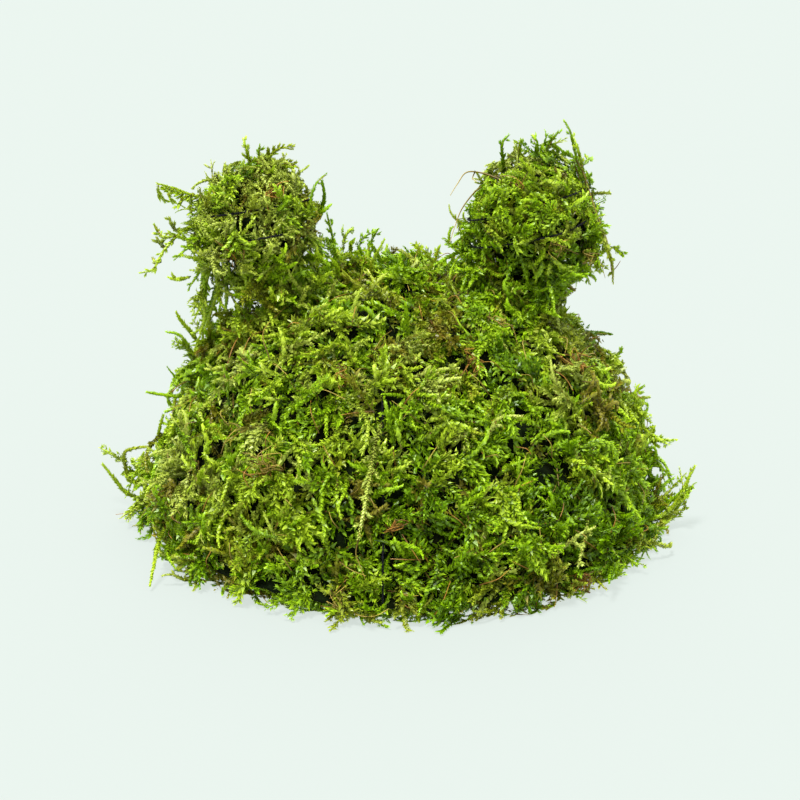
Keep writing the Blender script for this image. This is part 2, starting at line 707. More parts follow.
def hold_down(points, number, cord, centre, reach, free):
    """Press the moss beside a thread in under it, all but one frond in every few."""
    cord_way = cord - centre
    cord_out = np.linalg.norm(cord_way, axis=1)
    cord_way = cord_way / cord_out[:, None]
    inside = np.all((points > cord.min(0) - 5) & (points < cord.max(0) + 5), axis=1)
    near = np.flatnonzero(inside & (number % free > 0))
    for some in np.array_split(near, len(near) // 20000 + 1):
        out = np.linalg.norm(points[some] - centre, axis=1)
        way = (points[some] - centre) / out[:, None]
        match = way @ cord_way.T
        best = match.argmax(1)
        beside = out * np.sqrt(np.maximum(0, 2 - 2 * match.max(1)))
        level = cord_out[best] - 0.4 + 3.0 * (beside / reach) ** 2
        level = np.where(beside < reach, np.minimum(out, level), out)
        points[some] = centre + way * level[:, None]
    return points


def add_fronds(name, laid, *cords):
    """Join fronds into a piece; nothing goes under the floor, or over a thread that shows."""
    points, faces, uv = joined(laid)
    number = np.repeat(np.arange(len(laid)), [len(part[0]) for part in laid])
    for cord in cords:
        points = hold_down(points, number, *cord)
    low = np.minimum(points[:, 2], FLOOR_EASE)
    ease = FLOOR_EASE - FLOOR_LIFT
    points[:, 2] += FLOOR_LIFT + ease * np.exp((low - FLOOR_EASE) / ease) - low
    add_mesh(name, points, faces, leaf_material, uv)


DOME_TUFTS = 520
LONG_FRONDS = 110
STANDING_SHOOTS = 60
SKIRT_TUFTS = 110
RIM_TUFTS = 80
GAP_ROUNDS = (1600, 1500)
UNDER_FRONDS = 560
SECTORS = 6

dome_cord = thread_over_dome()
shown_cord = (dome_cord[(dome_cord[:, 2] < SHOWN_HEIGHT) & (dome_cord[:, 1] < 0)], np.zeros(3), 0.9, 4)
ways = spread_ways(DOME_TUFTS, 0.0)
laid = dress(ways, dome_surface(ways), (0.85, 1.3), (2, 42), 0.15, 25.0)

# long fronds that lie over the rest, each along a curve of its own
for place in dome_surface(spread_ways(LONG_FRONDS, 0.06)):
    way = unit(place - DOME_MIDDLE)
    tone = pick_tone(place)
    models = long_models[rng.integers(len(long_models))]
    heading = noise.noise(Vector(place) / 25.0) * 5.0 + rng.normal(0, 1.2)
    place = place + way * rng.uniform(1.5, 3.5)
    laid += lay_tuft(models, place, way, heading, tone, 1, 0.5, (0, 16), (0.9, 1.15), 0.12)

# shoots that stand up from the rest
laid += stand(dome_surface(spread_ways(STANDING_SHOOTS, 0.05)), DOME_MIDDLE, OLIVE, (35, 75), (0.8, 1.2))

# the skirt: fronds from the rim, lying outward and down over the edge of the disc
ways = rim_ways(SKIRT_TUFTS, 7)
for way, place in zip(ways, dome_surface(ways)):
    tone = pick_tone(place)
    heading = rng.normal(-math.pi / 2, 0.9)
    for _ in range(3):
        kind = pick_kind(tone)
        laid += lay_tuft(kind, place - way, way, heading, tone, 1, 0.5, (0, 30), (0.75, 1.05), 0.3, 0)

# and more along the rim, level with the floor, that close it
rim_models = spray_models + feather_models
ways = rim_ways(RIM_TUFTS, 6)
for way, place in zip(ways, dome_surface(ways)):
    place = place - way * 0.4
    for _ in range(3):
        tone = rng.choice([DEEP, GREEN, OLIVE, OLIVE, BROWN])
        heading = rng.choice([0, math.pi])
        laid += lay_tuft(rim_models, place, way, heading, tone, 1, 0.35, (0, 14), (0.8, 1.1), 0)

for count in GAP_ROUNDS:
    laid = fill_gaps(laid, dome_surface, np.zeros(3), count, 0.07, 0.045, (0.85, 1.2))
ways = spread_ways(UNDER_FRONDS, 0.03)
laid += underlay(ways, dome_surface(ways), (0.9, 1.3))

turns = np.array([math.atan2(points[0, 1], points[0, 0]) for points, _, _ in laid])
sector = np.floor((turns + math.pi) / (math.tau / SECTORS)).astype(int) % SECTORS
for number in range(SECTORS):
    part = [one for one, place in zip(laid, sector) if place == number]
    add_fronds(f"moss_dome_fronds_{number + 1}", part, shown_cord)


# Fronds over the two balls
# The same moss, in shorter pieces, wound round each ball and down its neck and held there by the
# thread's turns, which press the fronds beside them in.

BALL_SAG = 0.13
BALL_LEAN = {"left": (-1.0, 3.6), "right": (0.0, 0.0)}
BARE_BELOW = {"left": 99.0, "right": 69.6}
NECK_FROM = 47
NECK_TO = 61
BALL_TUFTS = 92
BALL_SHOOTS = 24

ball_cords = {}
for name, ball in (("left", LEFT_BALL), ("right", RIGHT_BALL)):
    ways = spread_ways(BALL_TUFTS, -0.97)
    places = ball_surface(ball, ways)
    middle, top = BALL_LEAN[name]
    places[:, 0] += middle + top * np.maximum(0, ways[:, 2])
    sag = BALL_SAG * (ball["centre"][2] - places[:, 2])
    laid = dress(ways, places + ways * sag[:, None], (0.65, 1.0), (2, 36), 0.15, 12.0)
    centre = np.array(ball["centre"])
    laid = fill_gaps(laid, lambda ways: ball_surface(ball, ways), centre, 260, -0.8, 0.2, (0.65, 0.9))
    ways = spread_ways(100, -1)
    laid += underlay(ways, ball_surface(ball, ways), (0.6, 0.9))
    laid += stand(ball_surface(ball, spread_ways(BALL_SHOOTS, -0.8)), centre, BROWN, (25, 70), (0.6, 0.9))
    ways = spread_ways(66, -0.7)
    places = neck_surface(ball, ways)
    clear = (places[:, 2] > NECK_FROM) & (places[:, 2] < NECK_TO)
    laid += underlay(ways[clear], places[clear], (0.6, 0.9))
    laid += dress(ways[clear], places[clear], (0.65, 0.95), (2, 45), 0.3, 12.0)
    cord = thread_round_ball(ball, *WINDINGS[name])
    ball_cords[name] = cord
    bare = (cord[:, 1] > 0) | (cord[:, 2] < BARE_BELOW[name])
    add_fronds(f"moss_ball_{name}_fronds", laid, (cord[bare], centre, 0.6, 4))


# Stray fronds
# Fronds that stand clear of the clump: combs with hanging side shoots, thin tips, and the
# bundles that bulge from the skirt and the shoulders.

TO_CAMERA = (0, -0.94, 0.34)
TRAIL_STEPS = 12
SWAY = 3.4
SWAY_ABOVE = 55.0
SWAY_FADE = 6.0
SWAY_LENGTH = 4
SWAY_SHIFT = 2.1


def lengths_along(points):
    """The length of a path up to each of its points."""
    return np.concatenate([[0], np.cumsum(np.linalg.norm(np.diff(points, axis=0), axis=1))])


def at_depth(depth, spots):
    """Places from their x and z, all at one depth y or each at its own."""
    return [(x, y, z) for (x, z), y in zip(spots, np.broadcast_to(depth, len(spots)))]


def trail(stops, jitter=None):
    """A smooth path through some places, which waves in depth above the dome, and its axes."""
    stops = np.array(stops, float)
    if jitter is not None:
        grown = np.linspace(0.4, 1, len(stops))[:, None]
        stops = stops + rng.normal(0, jitter, stops.shape) * grown
    stops = np.vstack([2 * stops[0] - stops[1], stops, 2 * stops[-1] - stops[-2]])
    share = np.linspace(0, 1, TRAIL_STEPS, endpoint=False)[:, None]
    rows = []
    for a, b, c, d in zip(stops, stops[1:], stops[2:], stops[3:]):
        second = a - 2.5 * b + 2 * c - d / 2
        third = 1.5 * (b - c) + (d - a) / 2
        rows.append(b + (c - a) * share / 2 + second * share**2 + third * share**3)
    middle = np.vstack([*rows, stops[-2:-1]])
    steps = lengths_along(middle)
    free = np.clip((middle[:, 2] - SWAY_ABOVE) / SWAY_FADE, 0, 1)
    wave = SWAY * free * np.sin(SWAY_SHIFT * stops[1, 0] + np.linspace(0, SWAY_LENGTH, len(middle)))
    middle = middle - wave[:, None] * TO_CAMERA
    way = units(np.gradient(middle, axis=0))
    return steps, middle, way, units(np.cross(TO_CAMERA, way))


FLAT = np.eye(3)
COMB = Look(6.5, 1.3, 0.72, 18, 0.7, True, 0.16)
COMB_TWIG = Look(6.0, 1.2, 0.62, 15, 0.7, True, 0.1)
BOLD_STRAP = Look(9.0, 1.3, 0.9, 24, 0.8, True, 0.2)


def grow(stops, tone, branch, gap, look, twig, tumble=0.25, jitter=0.0, side=0, wood=DARK_WOOD):
    """A frond along a path; side 1 or -1 keeps its side shoots on one side."""
    path = trail(stops, jitter)
    model = frond(path[0][-1], branch, gap, tumble, look, twig, side)
    return lay(model, np.zeros(3), FLAT, tone, wood, 1.0, path, 1)


# each with its tone, the length and gap of its side shoots, the side they keep to (0: both),
# its depth, and its places from root to tip
STRAYS_LEFT = (
    (YELLOW, 2.6, 0.5, 1, -2, [(-36, 74), (-41, 76.4), (-44.5, 76.6), (-49.6, 78.4), (-52.4, 79)]),
    (YELLOW, 1.1, 2.0, 0, (-2, -2.4, -2), [(-52.4, 79), (-52, 77.2), (-51.2, 75.1)]),
    (YELLOW, 1.1, 2.0, 0, (-2, -2.4, -2), [(-49.8, 78.4), (-49.9, 76.6), (-49.3, 74.8)]),
    (YELLOW, 1.1, 1.5, 0, (-2, -2.6, -2), [(-47.5, 77.4), (-47.6, 75.4), (-48, 73.6)]),
    (YELLOW, 1.1, 1.5, 0, (-2, -2.8, -2), [(-45.2, 76.7), (-45.7, 74.5), (-45.4, 72.6)]),
    (YELLOW, 1.6, 1.0, 0, (-2, -2.6, -2), [(-43.2, 76.4), (-43.6, 74), (-43.8, 71.4)]),
    (GREEN, 1.6, 1.0, 0, (-2, -2, -3), [(-37, 73), (-42, 73.4), (-46, 72.2)]),
    (YELLOW, 0.9, 1.2, 0, -3, [(-38, 71), (-45.3, 70.2), (-50.7, 65.2), (-53.5, 60.3), (-56.8, 59.4)]),
    (PALE, 1.0, 1.6, 0, -3, [(-47.5, 68.5), (-49.3, 69.4), (-49.8, 71.6)]),
    (YELLOW, 1.3, 1.3, 0, -3, [(-48.5, 67.6), (-51.4, 67.4), (-52.8, 68.6), (-53.5, 70.4)]),
    (PALE, 1.0, 1.6, 0, -3, [(-50.6, 65.3), (-52, 65.6), (-52.6, 67.2)]),
    (PALE, 1.0, 1.6, 0, -3, [(-51.8, 61.8), (-53.6, 61.6), (-54.2, 63)]),
    (GREEN, 1.6, 1.2, 0, (-2, -3, -3, -3), [(-38, 70), (-43.8, 67.3), (-46.5, 64.6), (-49.1, 62.4)]),
    (GREEN, 1.0, 2.0, 0, (-2, -3, -3, -3), [(-39, 66), (-43, 61.5), (-45.4, 57.6), (-46.4, 55.6)]),
    (GREEN, 1.8, 1.2, 0, (-3, -4, -4, -4), [(-37, 69), (-42.3, 63), (-43, 56), (-44, 52)]),
    (YELLOW, 1.6, 1.4, 0, (-1, -2, -2, -2), [(-38, 66), (-41.6, 60), (-43.6, 53), (-45.6, 48)]),
    (GREEN, 1.6, 1.4, 0, (1, 0, 0, 0), [(-36, 65), (-40, 57), (-42.4, 50), (-44, 45)]),
    (DEEP, 0.5, 3.0, 0, (0, -0.5, -0.5, -0.5, -0.5),
     [(-22, 69), (-20, 73), (-19.4, 77), (-18.2, 79.6), (-16.6, 81)]),
    (YELLOW, 1.4, 1.0, 0, 0, [(-32, 80), (-33.2, 85.5), (-34, 88.4)]),
    (GREEN, 1.4, 1.0, 0, 0, [(-30, 80), (-31, 85), (-30.4, 87)]),
    (OLIVE, 1.3, 1.0, 1, (1, 2, 2), [(-32, 81), (-27, 85.3), (-23.5, 85.6)]),
    (OLIVE, 1.3, 1.0, 1, 1, [(-30, 80), (-25, 83), (-22.6, 81.8)]),
    (GREEN, 2.0, 1.0, 0, (9, 17, 21), [(-30, 74), (-31, 76), (-33, 74)]),
)
STRAYS_RIGHT = (
    (GREEN, 0.6, 3.0, 0, -3, [(39.4, 77), (37.4, 84.4), (36.3, 87.5), (35.4, 90.4), (33.9, 93)]),
    (YELLOW, 0.6, 4.0, 0, (-2, -2.4, -2.4, -2.6), [(40, 77), (37.8, 84), (36.7, 87.5), (35.8, 90)]),
    (YELLOW, 0.7, 2.4, 0, (-4, -5, -5, -4.6), [(38.6, 80), (40.8, 73.5), (43.2, 67), (44.8, 62)]),
    (OLIVE, 0.7, 1.8, 0, -5, [(40.4, 74), (43.2, 66.9), (45, 61.2), (45.3, 58)]),
    (GREEN, 1.2, 1.6, 0, (-5, -6, -6, -5), [(36, 77), (38.6, 72), (41, 66), (42, 62)]),
    (GREEN, 0.8, 2.0, 0, -3, [(37.8, 83), (39.4, 84.6), (39, 86)]),
    (DEEP, 0.7, 2.0, 0, 0, [(22, 80), (21, 86.7), (22.6, 89.4)]),
    (GREEN, 1.0, 1.2, 0, 0, [(30, 83), (31.2, 87.4), (33, 89.8)]),
    (GREEN, 1.0, 1.2, 0, 0, [(28, 83), (28.6, 87), (27.4, 89.4)]),
    (GREEN, 1.0, 2.0, 0, (-2, -3, -3), [(35, 67), (38.4, 62.5), (40.4, 57.1)]),
    (YELLOW, 1.8, 1.0, 0, 0, [(24, 82), (25, 86), (24.6, 87.6)]),
    (GREEN, 1.8, 1.2, 0, (-2, -3, -3), [(17, 66), (13, 62), (11, 60)]),
    (GREEN, 2.0, 1.0, 0, (9, 17, 22), [(28, 74), (30, 76), (33, 72)]),
)
# the same, with the number of fronds in the bundle in place of a side
STRAYS_DOME = (
    (YELLOW, 1.6, 1.4, 5, (0, 1, 1, 0), [(-50, 10), (-55, 12), (-58.5, 11), (-60.5, 7)]),
    (YELLOW, 1.6, 1.4, 5, -2, [(-50, 7), (-55, 9), (-59, 6), (-60.5, 3)]),
    (OLIVE, 1.8, 1.4, 4, (-6, -7, -7, -7), [(-50, 5), (-55, 6), (-57.5, 3), (-58.4, 1.4)]),
    (GREEN, 1.6, 1.2, 3, (-32, -34.4, -35, -35), [(-36, 5), (-40.5, 4.8), (-43.6, 4.4), (-46, 3)]),
    (GREEN, 1.6, 1.2, 2, (2, 3, 3), [(-15, 54), (-15, 63), (-16.4, 70.8)]),
    (GREEN, 1.2, 1.0, 2, (14, 15, 15), [(-9, 53), (-7.5, 60), (-5.6, 63.6)]),
    (YELLOW, 2.2, 1.0, 4, (8, 9, 9), [(-13, 53), (-14, 58), (-14.5, 61)]),
    (GREEN, 2.4, 1.0, 4, (8, 9, 9), [(-6, 54), (-8, 58), (-10.5, 60.5)]),
    (GREEN, 2.2, 1.0, 3, (8, 9, 9), [(1, 54), (3, 57), (6, 59)]),
    (YELLOW, 2.0, 1.0, 4, (6, 7, 6), [(-38, 36), (-43, 44), (-45.5, 49.5)]),
    (GREEN, 2.0, 1.0, 4, (4, 5, 5), [(-34, 42), (-40, 46), (-42, 51)]),
    (YELLOW, 1.2, 1.8, 3, (-14, -10, -4, -3, -2), [(48, 2), (54, 2), (59.5, 3), (62.4, 7), (63.9, 13.4)]),
    (GREEN, 1.2, 1.6, 4, (-6, -5, -4, -4), [(50, 3), (56, 4), (60.2, 7.4), (62.6, 10)]),
    (OLIVE, 1.6, 1.4, 4, (-20, -16, -10, -6), [(46, 2), (51, 2), (56, 1.8), (59, 1.4)]),
    (GREEN, 1.0, 2.0, 2, 0, [(51, 10), (55.6, 13.4), (58.4, 12.2), (60.4, 8.4)]),
    (GREEN, 1.0, 2.0, 1, 2, [(52, 11), (54.4, 14), (55.4, 17.4)]),
    (GREEN, 1.4, 1.4, 1, 8, [(46, 20), (49.6, 24), (51, 26.4)]),
    (GREEN, 1.8, 1.2, 5, (-33, -38, -42.5), [(28, 6), (33, 4), (37, 2)]),
    (OLIVE, 1.8, 1.2, 5, (-31, -36.5, -41), [(34, 6), (39, 4), (42.6, 2)]),
    (GREEN, 1.8, 1.2, 5, (-24, -27, -29), [(40, 6), (46, 4.6), (50, 2.4)]),
    (OLIVE, 1.6, 1.2, 4, (-18, -21, -23), [(44, 6), (49, 5), (53.4, 3.4)]),
    (YELLOW, 1.6, 1.2, 4, (3, 4, 4), [(-50, 9), (-55, 11.6), (-59.6, 13)]),
    (GREEN, 1.6, 1.0, 2, (42, 50, 55), [(-30, 10), (-35, 13), (-37, 12)]),
    (YELLOW, 1.8, 1.0, 2, (46, 55, 60), [(10, 14), (12, 19), (13, 22)]),
    (GREEN, 1.8, 1.0, 2, (38, 45), [(34, 20), (40, 24)]),
    (OLIVE, 1.8, 1.0, 3, (50, 59, 64), [(12, 4), (13, 4), (15, 2)]),
    (GREEN, 1.6, 1.0, 2, (40, 46), [(-8, 40), (-9, 47)]),
    (GREEN, 1.8, 1.0, 3, (30, 36, 40), [(44, 4), (51, 5), (53, 3)]),
)
# single thick shoots, with hardly a side shoot
STRAPS = (
    (DEEP, -1, [(-21, 67), (-19.6, 69.8), (-18.1, 72.3), (-16.9, 75.9), (-17.3, 79.4)]),
    (GREEN, -1, [(-20, 69), (-18.4, 71.2), (-17, 72.5), (-15.5, 74.1)]),
    (YELLOW, -3, [(-41.6, 64), (-43, 58.6), (-43.5, 53.7), (-43, 49.6), (-44.2, 45.6)]),
    (YELLOW, -2, [(-40, 63), (-40.1, 55.7), (-41.5, 51.1), (-43, 46.4)]),
    (GREEN, -1, [(-37.6, 61), (-38.4, 57.2), (-38.2, 54.4), (-38.6, 50.4)]),
    (OLIVE, -1, [(-36.6, 59), (-35.8, 55.3), (-34.1, 52.6)]),
    (GREEN, 8, [(47, 23), (50.1, 26.5), (51.9, 27.9), (53.9, 29.4)]),
    (GREEN, 13, [(-45.6, 28), (-47.2, 33.5), (-48.6, 37.8), (-50.4, 39.9), (-52.8, 40.4)]),
    (YELLOW, 15, [(-45.7, 36.6), (-47.8, 39.9), (-49.6, 42.1), (-50.8, 44.4)]),
    (YELLOW, 11, [(-44.5, 30.6), (-47.7, 32.6), (-51, 31.8)]),
    (GREEN, 11, [(-44.6, 29.2), (-47.8, 31.1), (-50.2, 31.1)]),
    (GREEN, 8, [(-43, 26), (-47.7, 26.7), (-52.1, 27), (-57.3, 27.9)]),
    (GREEN, 8, [(-45.4, 26.5), (-49.3, 25.1), (-51.3, 24.1), (-53.3, 23.2)]),
    (YELLOW, 7, [(-50, 13), (-54, 15.3), (-54.8, 18.5), (-53.7, 22.8)]),
    (YELLOW, 7, [(-46.7, 19.7), (-50, 19), (-53.4, 18.2)]),
    (OLIVE, 5, [(-57, 6), (-61.4, 8.4), (-62.6, 13.4), (-61.6, 15.2), (-57.4, 16)]),
    (YELLOW, 2, [(-58, 4.3), (-62, 6), (-65.1, 10.1), (-67.1, 12.9)]),
    (YELLOW, (-24, -30.1, -34, -38), [(-51, 9), (-52.2, 7.6), (-52.8, 4.6), (-53.4, 1.6)]),
    (GREEN, (-26, -31, -34), [(-50, 7), (-50.2, 5.6), (-48.6, 4)]),
    (YELLOW, (-8, -5, -4, -3), [(54, 3), (59.4, 5), (62.2, 9.6), (64.6, 14.4)]),
    (YELLOW, (-5, -4, -4), [(59, 5), (62.4, 7.4), (64.2, 10)]),
    (GREEN, (2, 1, 0, 0), [(50, 13), (54.6, 15.4), (57.6, 14.6), (59.4, 11.6)]),
)
# tufts that bulge: a place, the way that they face, how many fronds, and their tone
CLUMPS = (
    ((-11, 6, 56), (-0.1, 0, 1), 14, YELLOW),
    ((-15, 8, 55), (-0.2, 0, 1), 8, GREEN),
    ((-6, 8, 56), (0, 0, 1), 8, GREEN),
    ((9, 4, 57), (0.1, -0.1, 1), 8, YELLOW),
    ((-37, 3, 42), (-0.7, 0, 0.7), 14, GREEN),
    ((-40, 2, 38), (-0.8, 0, 0.6), 10, YELLOW),
    ((-54, 3, 9), (-1, 0, 0.1), 14, YELLOW),
    ((-54, -3, 4), (-1, 0, 0), 12, YELLOW),
    ((-51, 8, 14), (-1, 0.1, 0.2), 8, GREEN),
    ((54, -4, 3.5), (1, -0.1, 0.1), 12, OLIVE),
    ((52, -9, 2.5), (1, -0.3, 0), 10, GREEN),
    ((52, 2, 9), (1, 0, 0.2), 8, GREEN),
    ((-57, 4, 9.6), (-1, 0, 0.4), 8, YELLOW),
    ((13, -3, 64), (-1, -0.1, 0.2), 7, GREEN),
    ((17, -3, 62), (-0.9, -0.2, 0.1), 14, GREEN),
    ((15.5, -3, 67), (-0.9, -0.2, 0.3), 8, GREEN),
    ((-19.5, -2, 66), (0.9, -0.2, -0.2), 10, GREEN),
    ((34, -2, 60), (0.9, 0, -0.4), 8, GREEN),
    ((28, -9, 58), (0.1, -0.9, -0.2), 14, GREEN),
    ((-27, -8, 57), (0.1, -0.9, -0.2), 8, GREEN),
    ((-10, 7, 58), (-0.15, 0, 1), 10, YELLOW),
    ((-13.5, 8, 57), (-0.15, 0, 1), 8, GREEN),
    ((-41, -3, 57.5), (-0.3, -0.2, -1), 8, YELLOW),
    ((-37, 0, 46), (0, -0.2, 1), 8, OLIVE),
    ((-43.5, 3, 39.5), (-0.8, 0, 0.7), 8, YELLOW),
    ((34, -37.5, 3), (0.7, -0.7, 0.1), 12, OLIVE),
    ((40.5, -5, 65), (0.8, -0.2, -0.6), 8, YELLOW),
    ((-38, -33, 3), (-0.75, -0.65, 0.05), 8, GREEN),
    ((49, -20.5, 3), (0.9, -0.4, 0.05), 8, OLIVE),
    ((-10, -52.5, 3), (-0.2, -1, 0.1), 8, OLIVE),
    ((-31, -8, 54), (-0.1, -0.8, 0.4), 8, OLIVE),
    ((-27, -8.5, 56.5), (0, -0.8, 0.5), 8, YELLOW),
    ((-22, -8.5, 57.5), (0.1, -0.8, 0.5), 8, GREEN),
    ((-18, -7, 58.5), (0.2, -0.7, 0.6), 8, YELLOW),
    ((-33, -9, 52), (-0.2, -0.8, 0.5), 8, YELLOW),
)

for name, strays in (("left", STRAYS_LEFT), ("right", STRAYS_RIGHT)):
    grown = []
    for tone, branch, gap, side, depth, spots in strays:
        grown.append(grow(at_depth(depth, spots), tone, branch, gap, COMB, COMB_TWIG, side=side))
    add_fronds(f"moss_ball_{name}_strays", grown)
grown = []
for tone, branch, gap, count, depth, spots in STRAYS_DOME:
    stops = at_depth(depth, spots)
    grown.append(grow(stops, tone, branch, gap, COMB, COMB_TWIG))
    for _ in range(count - 1):
        cut = stops if rng.random() < 0.5 else stops[: max(2, len(stops) - 1)]
        shade = tone + rng.normal(0, 0.06)
        grown.append(grow(cut, shade, branch, gap, FEATHER, FEATHER_TWIG, 0.4, 1.6, wood=TAN_WOOD))
for tone, depth, spots in STRAPS:
    grown.append(grow(at_depth(depth, spots), tone, 1.2, 40, BOLD_STRAP, STRAP))
for place, way, count, tone in CLUMPS:
    place, way = np.array(place, float), unit(np.array(way, float))
    for _ in range(count):
        kind = pick_kind(tone)
        spot = place + rng.normal(0, ROOT_SPREAD, 3)
        turn = rng.uniform(0, 7)
        grown += lay_tuft(kind, spot, way, turn, tone, 1, 0.5, (20, 85), (0.8, 1.15), 0.1, 0)
add_fronds("moss_dome_strays", grown)


# Braids and blades that stand out at the front
# Long pale braids, some running out into a bare stem, and the broadest bright shoots.

LONG_BRAID = Look(9.0, 1.0, 0.74, 42, 1.0, True, 0.24)
# each with its tone and kind, the length and gap of its side shoots, and its places on the dome
FRONT = (
    (PALE, LONG_BRAID, 2.8, 2.6, [(-6, 43), (-7.5, 36.5), (-8, 30), (-8.5, 25), (-9.5, 19)]),
    (PALE, BRAID, 2.0, 3.0, [(46, 17), (43, 13), (40, 8)]),
    (PALE, BRAID, 2.0, 3.0, [(34.5, 11), (40, 14), (46, 15)]),
    (PALE, BRAID, 2.0, 2.6, [(3, 53), (8, 54), (14, 54.5), (19, 54)]),
    (YELLOW, BLADE, 2.6, 1.2, [(-18, 56), (-25.5, 60), (-34.5, 56), (-37, 54)]),
    (YELLOW, BLADE, 2.2, 1.2, [(-13, 7), (-9.5, 8.5), (-5, 10.5), (-3, 11)]),
    (GREEN, BLADE, 1.8, 2.0, [(11, 23), (13, 25), (17, 27), (19, 28)]),
    (GREEN, BLADE, 1.8, 2.0, [(23, 27), (24.5, 25), (27.5, 21), (28, 19)]),
    (GREEN, BLADE, 2.4, 1.2, [(-34, 23), (-30.5, 22), (-26, 20), (-22, 22)]),
    (GREEN, BLADE, 2.4, 1.4, [(24, 18), (27, 16), (31, 14.5), (34.5, 13)]),
    (GREEN, BLADE, 2.2, 1.4, [(8, 17), (12, 15.5), (17, 15), (22.5, 14.5)]),
    (GREEN, BLADE, 2.2, 1.4, [(-50, 45), (-47, 42), (-43, 42), (-40, 44)]),
    (YELLOW, BRAID, 2.0, 2.6, [(-62, 30), (-56, 34), (-50, 33)]),
    (PALE, BRAID, 2.0, 2.6, [(-46, 27), (-42, 30), (-36, 30)]),
    (PALE, BRAID, 2.2, 2.6, [(22, 38), (27, 42), (33, 41)]),
    (PALE, BRAID, 1.8, 2.6, [(54, 40), (52, 46), (56, 51)]),
)
# bright tufts on the balls: the ball, a place, how many fronds, their tone and kind
BALL_BRIGHT = (
    (RIGHT_BALL, (30.2, -12, 81.3), 6, 0.5, blade_models),
    (RIGHT_BALL, (34.3, -12, 77.3), 5, 0.44, finger_models),
    (RIGHT_BALL, (24.7, -12, 73), 5, 0.4, blade_models),
    (RIGHT_BALL, (30.1, -12, 64.8), 5, 0.42, finger_models),
    (RIGHT_BALL, (18.2, -10, 76), 6, 0.46, feather_models),
    (RIGHT_BALL, (21.4, -11, 80.6), 5, 0.42, feather_models),
    (LEFT_BALL, (-27.4, -11, 64.4), 8, 0.4, blade_models),
    (LEFT_BALL, (-38.8, -9, 79.3), 6, 0.5, feather_models),
    (LEFT_BALL, (-34.5, -11, 70.4), 5, 0.44, blade_models),
    (LEFT_BALL, (-24.9, -10, 74.9), 5, 0.42, feather_models),
    (RIGHT_BALL, (30, -12, 74.1), 4, 0.38, feather_models),
    (RIGHT_BALL, (24, -12, 78.4), 4, 0.36, finger_models),
)
# and over the dome: degrees round and up, how many fronds, their tone and kind
BRIGHT = (
    (30, 46, 5, 0.42, feather_models),
    (-25.5, 21, 9, 0.5, blade_models),
    (24, 22, 8, 0.45, finger_models),
    (28, 15, 8, 0.42, feather_models),
    (59, 26, 8, 0.4, blade_models),
    (-27, 54, 6, 0.5, finger_models),
    (44.5, 66, 6, 0.42, feather_models),
    (-49, 21, 8, 0.56, feather_models),
    (12, 7.5, 6, 0.4, blade_models),
    (8, 50.5, 5, PALE, braid_models),
    (72, 43, 6, 0.45, blade_models),
    (-36.5, 10, 6, 0.5, feather_models),
    (-25, 4, 6, 0.42, feather_models),
    (-20, 5.5, 5, 0.36, spray_models),
    (-35, 3.5, 5, 0.4, spray_models),
    (-14, 4, 4, OLIVE, feather_models),
    (20, 86, 5, 0.4, feather_models),
)
grown = []
for tone, kind, branch, gap, spots in FRONT:
    lifts = np.linspace(1.5, 3.2, len(spots))
    stops = [on_dome(*spot, lift) for spot, lift in zip(spots, lifts)]
    twig = BLADE_TWIG if kind is BLADE else BRAID
    grown.append(grow(stops, tone, branch, gap, kind, twig, 0.35))
for turn, tall, count, tone, models in BRIGHT:
    place = on_dome(turn, tall, 2.2)
    way = unit(place - DOME_MIDDLE)
    heading = rng.uniform(-2.4, -0.8)
    grown += lay_tuft(models, place, way, heading, tone, count, 0.7, (4, 35), (1.0, 1.35), 0.15)
for ball, place, count, tone, models in BALL_BRIGHT:
    way = unit(np.array(place) - ball["centre"])
    place = ball_surface(ball, way[None])[0] + way * 2.0
    for _ in range(count):
        turn = rng.uniform(0, math.tau)
        grown += lay_tuft(models, place, way, turn, tone, 1, 0.4, (5, 40), (0.85, 1.15), 0.1)
add_fronds("moss_front_braids", grown)


# Wiry stems and root tangles
# Bare stems that have lost their leaves, tan or golden brown, and knots of fine brown rootlets
# caught between the fronds.

STEM_TIP = 0.07
LOOSE_STEMS = 200


def stem(stops, thick, thin, wood):
    """A bare stem through some places."""
    path = trail(stops)
    points, faces, age, shade = wiry(path[0][-1], thick, thin, 4 * len(stops))
    return follow(points, path), faces, leaf_map(wood + shade - WOOD, age)


# tone, thickness, and places: degrees round and up the dome, and millimetres off it
DOME_STEMS = (
    (TAN_WOOD, 0.2, [(-9.5, 19, 3.0), (-10, 16, 3.4), (-9.2, 13.5, 3.2), (-8, 10, 2.4)]),
    (TAN_WOOD, 0.2, [(-16, 6.5, 2), (-13.5, 5, 3), (-13.0, 3.4, 3.4), (-14.5, 1.5, 2.6)]),
    (TAN_WOOD, 0.16, [(-12, 5, 2), (-10, 2.8, 3.4), (-6, 2.6, 3.2), (-3, 4, 2)]),
    (DARK_WOOD, 0.2, [(-63, 43.5, 2.5), (-68, 50, 3.4), (-78, 56, 3.2)]),
    (TAN_WOOD, 0.16, [(-50, 52, 2.5), (-60, 56, 3.4), (-72, 64, 3.2)]),
    (TAN_WOOD, 0.18, [(52, 55, 3), (47.5, 56, 4), (45, 52.5, 3)]),
    (TAN_WOOD, 0.18, [(17.5, 14, 2), (20, 16, 3.2), (22.5, 17, 2.4)]),
    (DARK_WOOD, 0.2, [(6, 1.5, 2.5), (8, 5, 3.5), (10, 10, 3)]),
)
